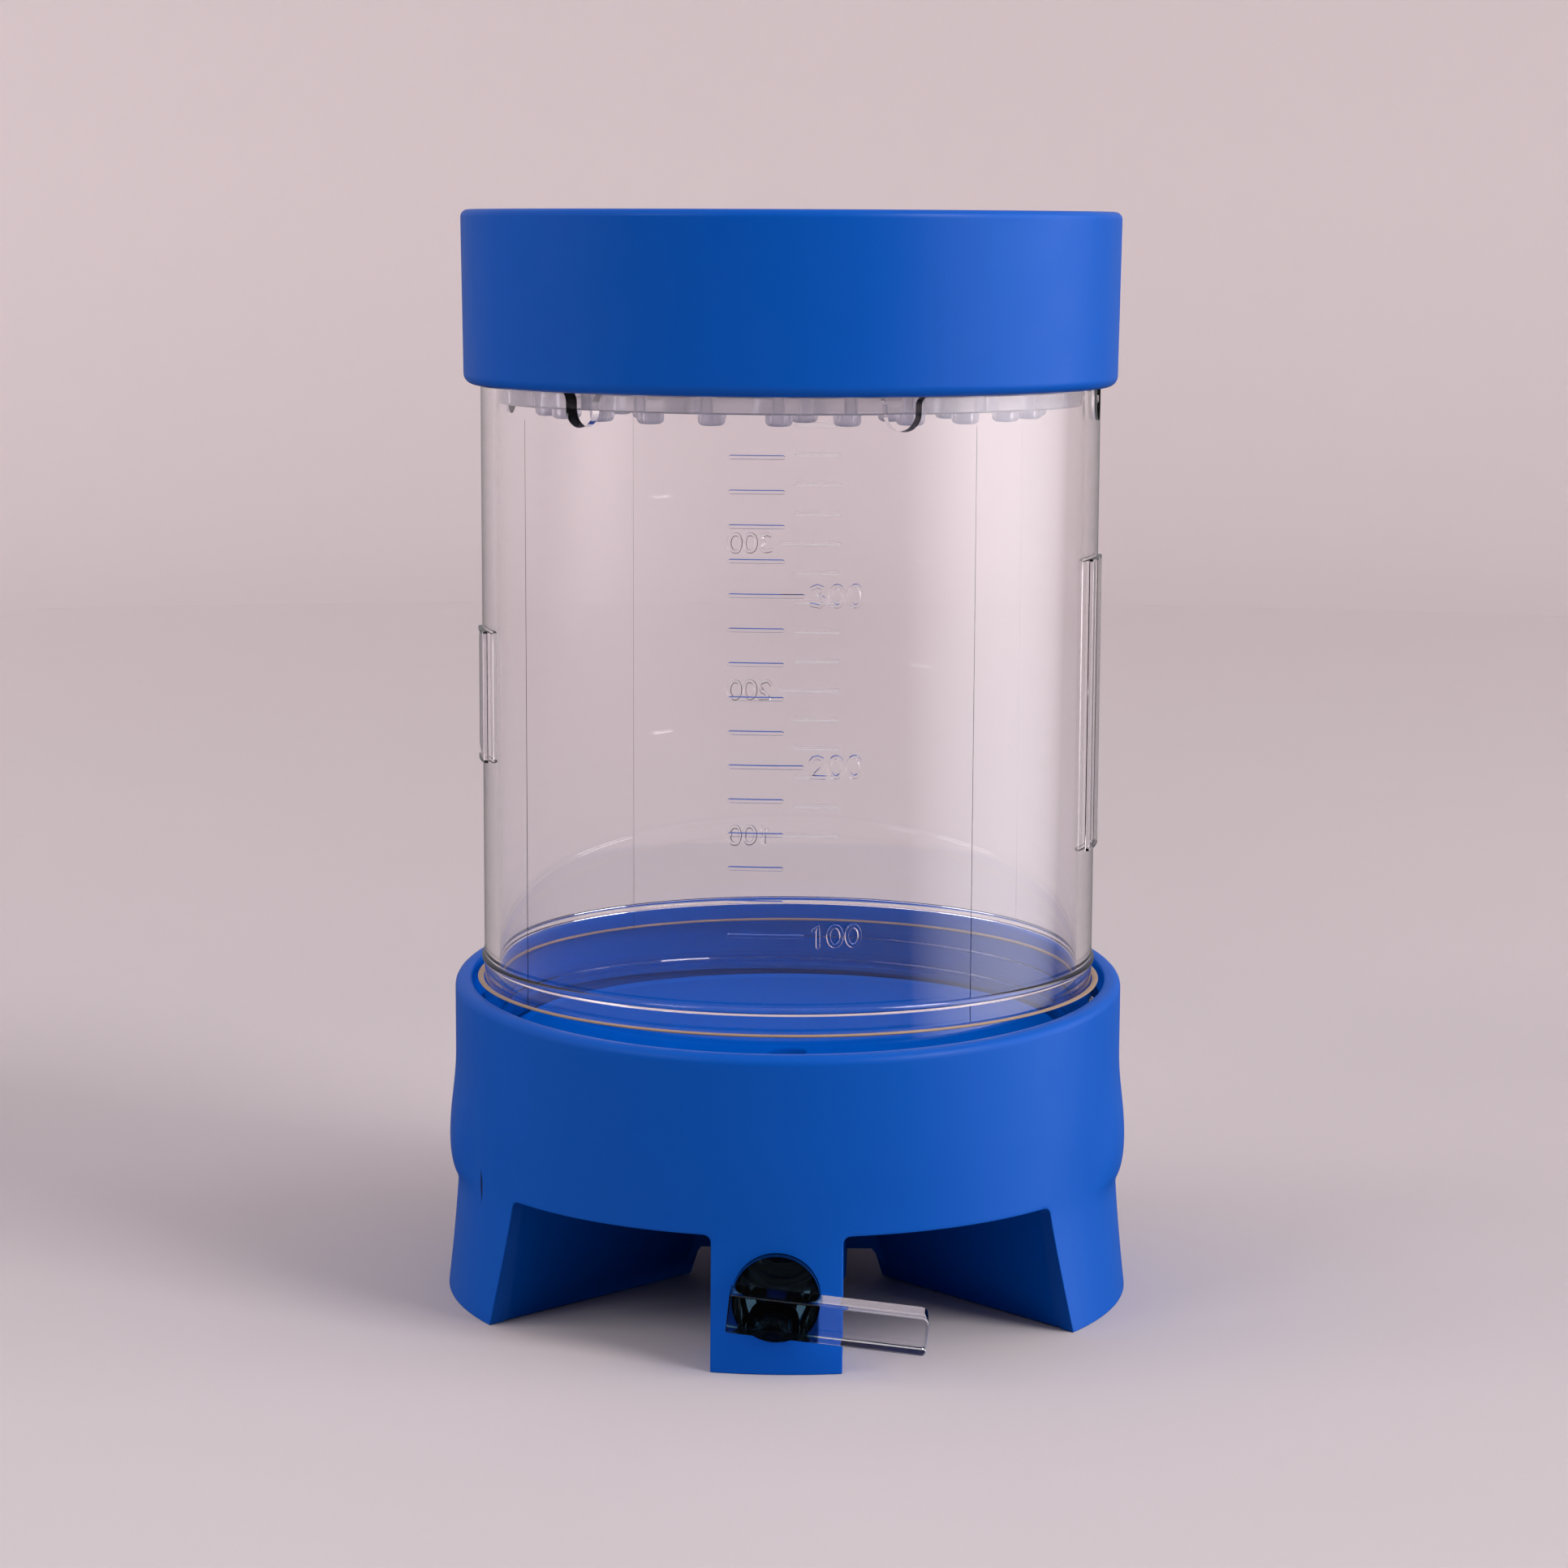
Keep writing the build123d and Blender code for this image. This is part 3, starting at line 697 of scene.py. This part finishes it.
# ---------------------------------------------------------------- insert and lid
def make_insert():
    """The clear insert: a plate with nozzles, a flange on the rim and a threaded neck."""
    top = PLATE_Z + PLATE
    inside = PLUG_WALL_R - PLATE
    corners = [
        (0, PLATE_Z, 0),
        (PLUG_WALL_R, PLATE_Z, 0.4),
        (PLUG_WALL_R, FLANGE_Z, 0.2),
        (BARREL_R, FLANGE_Z, 0.3),
        (BARREL_R, FLANGE_Z + FLANGE, 0.3),
        (NECK_R, FLANGE_Z + FLANGE, 0.2),
        (NECK_R, NECK_TOP, 0.3),
        (NECK_R - PLATE, NECK_TOP, 0.3),
        (NECK_R - PLATE, FLANGE_Z + FLANGE, 0),
        (inside, FLANGE_Z, 0),
        (inside, top, 0.4),
        (0, top, 0),
    ]
    shell = lathe("insert", soften(corners), 480)
    ridge = helix_ridge("thread", NECK_R - 0.2, NECK_CREST, LID_PITCH, LID_THREAD_Z, LID_TURNS)
    studs, bores = [ridge], []
    tip = PLATE_Z - NOZZLE_DROP
    root = PLATE_Z + 0.4
    outline = soften([(0, root, 0), (NOZZLE_R, root, 0), (NOZZLE_R, tip, 0.7), (0, tip, 0)], 5)
    for ring_r, count, start in NOZZLE_RINGS:
        for k in range(count):
            place = Matrix.Translation(Vector(on_wall(ring_r, start + 360 * k / count)) * MM)
            stud = lathe("stud", outline, 32)
            stud.data.transform(place)
            studs.append(stud)
            low, high = tip - 1, top + 1
            bore = lathe("bore", [(0, low), (NOZZLE_BORE_R, low), (NOZZLE_BORE_R, high), (0, high)], 24)
            bore.data.transform(place)
            bores.append(bore)
    boolean(shell, join("studs", studs), "UNION")
    return boolean(shell, join("bores", bores), "DIFFERENCE")


def make_lid():
    """The blue lid with its thread and the seat of its gasket."""
    roof = LID_TOP - LID_SKIN
    seat = NECK_TOP + 1.5
    corners = [
        (0, LID_TOP, 0),
        (0, roof, 0),
        (33.5, roof, 0.4),
        (33.5, seat, 0.3),
        (38.3, seat, 0.2),
        (38.3, roof, 0.2),
        (LID_BORE_R, roof - 3, 0.5),
        (LID_BORE_R, LID_FOOT, 0.4),
        (LID_R_FOOT, LID_FOOT, 1.4),
        (LID_R_TOP, LID_TOP, 1.0),
    ]
    shell = lathe("lid", soften(corners, 6))
    low = LID_THREAD_Z - LID_PITCH / 2
    ridge = helix_ridge("thread", LID_BORE_R + 0.2, LID_CREST, LID_PITCH, low, LID_TURNS)
    return join("lid_shell", [shell, ridge])


# ---------------------------------------------------------------- valve
def lay_down(obj):
    """Turns a lathed part so that its axis is the valve's, with its heights along Y."""
    for vertex in obj.data.vertices:
        x, y, z = vertex.co
        vertex.co = (x, z, VALVE_Z * MM - y)
    return obj


def make_plug():
    """The clear plug with its seal and clip grooves, its port and its lever."""
    outline = [(0, PLUG_FRONT), (PLUG_R, PLUG_FRONT)]
    for groove_r, start, end in PLUG_GROOVES:
        outline += [(PLUG_R, start), (groove_r, start), (groove_r, end), (PLUG_R, end)]
    outline += [(PLUG_R, PLUG_TAIL), (0, PLUG_TAIL)]
    plug = lay_down(lathe("plug", outline, 128))
    start, end = LEVER_SPAN
    low, high = LEVER_RISE
    corners = soften([(start, low, 0.3), (end, low, 0.5), (end, high, 0.9), (start, high, 0.3)], 5)
    rows = []
    for depth in (LEVER_BACK, LEVER_FRONT):
        row = []
        for u, w in corners:
            x = u * cos(LEVER_DROOP) + w * sin(LEVER_DROOP)
            z = w * cos(LEVER_DROOP) - u * sin(LEVER_DROOP)
            row.append((x, -depth, VALVE_Z + z))
        rows.append(row)
    lever = bevel(prism("lever", *rows), 0.25, segments=3, angle=60)
    boolean(plug, lever, "UNION")
    port = lathe("port", [(0, -8), (PORT_R, -8), (PORT_R, 8), (0, 8)], 64)
    tilt = Matrix.Rotation(pi / 2 + LEVER_DROOP, 4, "Y")
    port.data.transform(Matrix.Translation((0, 0, VALVE_Z * MM)) @ tilt)
    return boolean(plug, port, "DIFFERENCE")


# ---------------------------------------------------------------- materials
def new_material(name):
    """An empty node material and its output."""
    material = bpy.data.materials.new(name)
    material.use_nodes = True
    tree = material.node_tree
    tree.nodes.clear()
    return material, tree, tree.nodes.new("ShaderNodeOutputMaterial")


def place_on(tree, kind="Object"):
    """The piece's own coordinates, or another kind of them."""
    return tree.nodes.new("ShaderNodeTexCoord").outputs[kind]


def vector_math(tree, operation, vector, other=None):
    """The outputs of one step of vector arithmetic."""
    node = tree.nodes.new("ShaderNodeVectorMath")
    node.operation = operation
    tree.links.new(vector, node.inputs[0])
    if other is not None:
        node.inputs[1].default_value = other
    return node.outputs


def noise(tree, scale, detail=3.0, stretch=(1, 1, 1)):
    """Noise over the piece's own coordinates."""
    mapping = tree.nodes.new("ShaderNodeMapping")
    mapping.inputs["Scale"].default_value = stretch
    made = tree.nodes.new("ShaderNodeTexNoise")
    made.inputs["Scale"].default_value = scale
    made.inputs["Detail"].default_value = detail
    tree.links.new(place_on(tree), mapping.inputs["Vector"])
    tree.links.new(mapping.outputs["Vector"], made.inputs["Vector"])
    return made.outputs["Fac"]


def blend(tree, factor, first, second):
    """A colour between two, or a colour over a linked one."""
    mix = tree.nodes.new("ShaderNodeMix")
    mix.data_type = "RGBA"
    tree.links.new(factor, mix.inputs["Factor"])
    for socket, value in ((mix.inputs[6], first), (mix.inputs[7], second)):
        if isinstance(value, tuple):
            socket.default_value = (*value, 1)
        else:
            tree.links.new(value, socket)
    return mix.outputs[2]


def spread(tree, factor, low, high, ends=(0.3, 0.7)):
    """A number that runs from low to high as a factor runs between its ends."""
    node = tree.nodes.new("ShaderNodeMapRange")
    node.inputs["From Min"].default_value = ends[0]
    node.inputs["From Max"].default_value = ends[1]
    node.inputs["To Min"].default_value = low
    node.inputs["To Max"].default_value = high
    tree.links.new(factor, node.inputs["Value"])
    return node.outputs["Result"]


def bump(tree, height, strength, distance):
    """A normal from a height."""
    node = tree.nodes.new("ShaderNodeBump")
    node.inputs["Strength"].default_value = strength
    node.inputs["Distance"].default_value = distance
    tree.links.new(height, node.inputs["Height"])
    return node.outputs["Normal"]


def spot(tree, centre, size, edge=0.25):
    """A soft mark around a place on a piece: 1 inside and 0 outside."""
    mapping = tree.nodes.new("ShaderNodeMapping")
    mapping.inputs["Scale"].default_value = [1 / (s * MM) for s in size]
    mapping.inputs["Location"].default_value = [-c / s for c, s in zip(centre, size)]
    tree.links.new(place_on(tree), mapping.inputs["Vector"])
    length = vector_math(tree, "LENGTH", mapping.outputs["Vector"])["Value"]
    return spread(tree, length, 1.0, 0.0, (1 - edge, 1 + edge))


def solid_material(name, colours, scale, roughness, grain, specular=0.5, marks=()):
    """An opaque finish: two colours over noise, uneven roughness and a fine grain."""
    material, tree, output = new_material(name)
    shader = tree.nodes.new("ShaderNodeBsdfPrincipled")
    shader.inputs["Specular IOR Level"].default_value = specular
    colour = blend(tree, noise(tree, scale), *colours)
    for centre, size, dark in marks:
        colour = blend(tree, spot(tree, centre, size), colour, dark)
    tree.links.new(colour, shader.inputs["Base Color"])
    tree.links.new(spread(tree, noise(tree, scale * 2.3), *roughness), shader.inputs["Roughness"])
    tree.links.new(bump(tree, noise(tree, grain, 2.0), 0.25, 0.00004), shader.inputs["Normal"])
    tree.links.new(shader.outputs["BSDF"], output.inputs["Surface"])
    return material


def clear_material(name, colours, roughness, shade, clarity=1.0):
    """A clear plastic that lets lamps through, with faint streaks left by its mould."""
    material, tree, output = new_material(name)
    shader = tree.nodes.new("ShaderNodeBsdfPrincipled")
    shader.inputs["Transmission Weight"].default_value = clarity
    shader.inputs["IOR"].default_value = 1.49
    tree.links.new(blend(tree, noise(tree, 60), *colours), shader.inputs["Base Color"])
    streaks = noise(tree, 90, 4.0, (1, 1, 0.08))
    tree.links.new(spread(tree, streaks, *roughness), shader.inputs["Roughness"])
    tree.links.new(bump(tree, noise(tree, 45, 2.0, (1, 1, 0.15)), 0.02, 0.0001), shader.inputs["Normal"])
    through = tree.nodes.new("ShaderNodeBsdfTransparent")
    through.inputs["Color"].default_value = (*shade, 1)
    path = tree.nodes.new("ShaderNodeLightPath")
    mix = tree.nodes.new("ShaderNodeMixShader")
    tree.links.new(path.outputs["Is Shadow Ray"], mix.inputs[0])
    tree.links.new(shader.outputs["BSDF"], mix.inputs[1])
    tree.links.new(through.outputs["BSDF"], mix.inputs[2])
    tree.links.new(mix.outputs["Shader"], output.inputs["Surface"])
    return material


def socket_of(material, name):
    """A material's node tree and one input of its main shader."""
    tree = material.node_tree
    return tree, tree.nodes["Principled BSDF"].inputs[name]


def dull_inside(material, shine):
    """Leaves a finish without shine inside the base's mouth."""
    tree, socket = socket_of(material, "Specular IOR Level")
    level = vector_math(tree, "MULTIPLY", place_on(tree), (1, 1, 0))["Vector"]
    reach = vector_math(tree, "LENGTH", level)["Value"]
    tree.links.new(spread(tree, reach, 0.0, shine, (MOUTH_R * MM, (MOUTH_R + 0.6) * MM)), socket)


def paint_core_shade(material, colour, edge):
    """Paints shade into a clear part: a dark colour up to an edge along X, where the unlit bore shows
    through.
    """
    tree, socket = socket_of(material, "Base Color")
    split = tree.nodes.new("ShaderNodeSeparateXYZ")
    tree.links.new(place_on(tree), split.inputs["Vector"])
    outer = spread(tree, split.outputs["X"], 0.0, 1.0, (edge * MM, (edge + 0.3) * MM))
    tree.links.new(blend(tree, outer, colour, socket.links[0].from_socket), socket)


def fade_out(material, colour, ends):
    """Fades a colour into another with the distance from the origin, in metres."""
    tree, socket = socket_of(material, "Base Color")
    length = vector_math(tree, "LENGTH", place_on(tree))["Value"]
    away = spread(tree, length, 0.0, 1.0, ends)
    tree.links.new(blend(tree, away, socket.links[0].from_socket, colour), socket)


BLUE = ((0.0002, 0.068, 0.365), (0.0004, 0.075, 0.39))
SHINE = 0.12
# A dark colour painted into the plug's core as shade: the unlit bore seen through the clear plug.
CORE_SHADE = (0.06, 0.15, 0.22)
CORE_SHADE_EDGE = 5.2
# A thin dark streak painted low on the base's left side.
DARK_STREAK = (on_wall(44.6, -62.4, 17.3), (0.35, 0.35, 2.0), (0.002, 0.012, 0.06))
blue_base = solid_material("blue_base", BLUE, 55, (0.36, 0.42), 2600, specular=SHINE, marks=[DARK_STREAK])
dull_inside(blue_base, SHINE)
blue_lid = solid_material("blue_lid", BLUE, 60, (0.34, 0.40), 2600, specular=SHINE)
clear_wall = clear_material(
    "clear_wall", ((0.975, 0.968, 0.985), (0.985, 0.98, 0.99)), (0.0, 0.006), (0.74, 0.73, 0.78)
)
clear_insert = clear_material(
    "clear_insert", ((0.87, 0.86, 0.93), (0.90, 0.89, 0.95)), (0.08, 0.14), (0.90, 0.89, 0.93), clarity=0.78
)
clear_plug = clear_material(
    "clear_plug", ((0.90, 0.91, 0.95), (0.93, 0.94, 0.97)), (0.0, 0.02), (0.80, 0.80, 0.86)
)
# The plug's core gets painted shade where the bore shows through it.
paint_core_shade(clear_plug, CORE_SHADE, CORE_SHADE_EDGE)
BLACK = ((0.012, 0.012, 0.013), (0.02, 0.02, 0.021))
AMBER = ((0.24, 0.16, 0.10), (0.30, 0.21, 0.14))
WHITE = ((0.60, 0.60, 0.57), (0.66, 0.66, 0.63))
black_seal = solid_material("black_seal", BLACK, 300, (0.5, 0.65), 4000)
amber_seal = solid_material("amber_seal", AMBER, 300, (0.4, 0.55), 4000)
white_washer = solid_material("white_washer", WHITE, 300, (0.35, 0.5), 4000)
clip_steel = solid_material("clip_steel", ((0.45, 0.45, 0.46), (0.55, 0.55, 0.56)), 500, (0.2, 0.35), 5000)
socket_of(clip_steel, "Metallic")[1].default_value = 1.0

# ---------------------------------------------------------------- pieces
finish_piece(make_base(), "base", "blue_plastic", blue_base, "base_body")
finish_piece(make_barrel(), "vessel", "clear_plastic", clear_wall, "barrel").name = "barrel_tube"
finish_piece(
    make_insert(), "insert", "clear_plastic", clear_insert, "nozzle_insert", "insert_nozzles"
).name = "insert_shell"
finish_piece(make_lid(), "cap", "blue_plastic", blue_lid, "lid")
finish_piece(make_plug(), "valve", "clear_plastic", clear_plug, "valve_plug").name = "plug_lever"
seal_outline = []
for k in range(16):
    turned = (cos(2 * pi * k / 16), sin(2 * pi * k / 16))
    seal_outline.append([middle + half * t for middle, half, t in zip(NECK_SEAL, NECK_SEAL_HALF, turned)])
finish_piece(lathe("neck_ring", seal_outline), "neck_ring", "amber_seal", amber_seal, "neck_seal")
kept = {
    "base_gasket": ("seal_rubber", black_seal),
    "lid_gasket": ("seal_rubber", black_seal),
    "valve_seals": ("seal_rubber", black_seal),
    "valve_washer": ("white_plastic", white_washer),
    "valve_clip": ("spring_steel", clip_steel),
}
for node, (slot, material) in kept.items():
    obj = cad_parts[node]
    obj.data.materials.clear()
    obj.data.materials.append(material)

# ---------------------------------------------------------------- studio
def sheet(name, profile, azimuths, material):
    """A smooth sheet from a profile of (radius, height) swept over a run of azimuths."""
    verts, faces = [], []
    count = len(profile)
    for azimuth in azimuths:
        for radius, z in profile:
            verts.append(on_wall(radius, azimuth, z - 0.02))
    for i in range(len(azimuths) - 1):
        for k in range(count - 1):
            j = i * count + k
            faces.append((j, j + count, j + count + 1, j + 1))
    made = build(name, verts, faces)
    made.data.flip_normals()
    made.data.shade_smooth()
    made.data.materials.append(material)
    return made


def light(name, azimuth, elevation, distance, size, power, colour):
    """A soft rectangular light that faces the canister's middle."""
    lamp = bpy.data.lights.new(name, "AREA")
    lamp.shape = "RECTANGLE"
    lamp.size, lamp.size_y = size
    lamp.energy = power
    lamp.color = colour
    obj = bpy.data.objects.new(name, lamp)
    bpy.context.scene.collection.objects.link(obj)
    middle = Vector((0, 0, 0.07))
    rise = distance * sin(radians(elevation))
    obj.location = Vector(on_wall(distance * cos(radians(elevation)), azimuth, rise)) + middle
    obj.rotation_euler = (middle - obj.location).to_track_quat("-Z", "Y").to_euler()
    obj.visible_camera = False
    return obj


PAPER = ((0.480, 0.435, 0.446), (0.500, 0.453, 0.464))
BACKDROP = (0.79, 0.712, 0.716)
paper = solid_material("paper", PAPER, 9, (0.75, 0.85), 700, specular=0.25)
fade_out(paper, BACKDROP, (0.2, 1.35))
floor = [(0, 0), (150, 0), (400, 0), (700, 0)]
wall = []
for k in range(17):
    angle = radians(90 * k / 16)
    wall.append((950 + 550 * sin(angle), 550 - 550 * cos(angle)))
wall.append((1500, 1900))
ground = sheet("stage_floor", floor + wall[:1], [360 * k / 128 for k in range(129)], paper)
back = sheet("stage_back", wall, [70 + 220 * k / 96 for k in range(97)], paper)
front = sheet("stage_front", wall, [-70 + 140 * k / 64 for k in range(65)], paper)
for piece in (ground, back, front):
    piece.visible_glossy = False
front.visible_diffuse = False
front.visible_shadow = False
light("key", 57, 38, 1.25, (0.40, 0.55), 8.0, (1.0, 0.97, 0.96))
light("fill", -47, 36, 1.25, (0.35, 0.5), 2.3, (0.97, 0.97, 1.0))
light("right_soft", 86, 14, 1.2, (0.6, 0.8), 7.0, (1.0, 0.98, 1.0)).visible_glossy = False
light("left_soft", -78, 20, 1.2, (0.6, 0.8), 4.2, (1.0, 0.98, 1.0)).visible_glossy = False

# Each glow of the surroundings: its direction, its strengths and the cosines they belong to
GLOWS = (
    ((0.0, 0.25, 0.97), (0.02, 0.68), (-0.2, 0.97)),
    ((0.97, -0.10, 0.22), (0.0, 5.5), (0.72, 1.0)),
)
world = bpy.data.worlds.new("studio")
world.use_nodes = True
tree = world.node_tree
background = tree.nodes["Background"]
background.inputs["Color"].default_value = (1.0, 0.96, 1.0, 1)
parts = []
surroundings = place_on(tree, "Generated")
for direction, values, ends in GLOWS:
    toward = vector_math(tree, "DOT_PRODUCT", surroundings, direction)["Value"]
    parts.append(spread(tree, toward, *values, ends))
total = tree.nodes.new("ShaderNodeMath")
for socket, part in zip(total.inputs, parts):
    tree.links.new(part, socket)
tree.links.new(total.outputs["Value"], background.inputs["Strength"])
bpy.context.scene.world = world
bpy.context.scene.view_settings.view_transform = "Standard"

# ---------------------------------------------------------------- camera
CAMERA_TURN = radians(1.6)
CAMERA_YAW = radians(0.073)
CAMERA_PITCH = radians(8.296)
CAMERA_ROLL = radians(0.25)
CAMERA_REACH = 0.50403
CAMERA_HEIGHT = 0.14124
LENS = 87.29
SENSOR = 36
lens = bpy.data.cameras.new("camera")
lens.lens = LENS
lens.sensor_width = SENSOR
lens.clip_start = 0.01
lens.clip_end = 20
camera = bpy.data.objects.new("camera", lens)
bpy.context.scene.collection.objects.link(camera)
turn = CAMERA_TURN + CAMERA_YAW
right = Vector((cos(turn), sin(turn), 0))
forward = Vector((-sin(turn) * cos(CAMERA_PITCH), cos(turn) * cos(CAMERA_PITCH), -sin(CAMERA_PITCH)))
above = right.cross(forward)
rolled_right = right * cos(CAMERA_ROLL) + above * sin(CAMERA_ROLL)
rolled_above = above * cos(CAMERA_ROLL) - right * sin(CAMERA_ROLL)
place = Matrix((rolled_right, rolled_above, -forward)).transposed().to_4x4()
place.translation = (CAMERA_REACH * sin(CAMERA_TURN), -CAMERA_REACH * cos(CAMERA_TURN), CAMERA_HEIGHT)
camera.matrix_world = place
bpy.context.scene.camera = camera

bpy.context.view_layer.update()
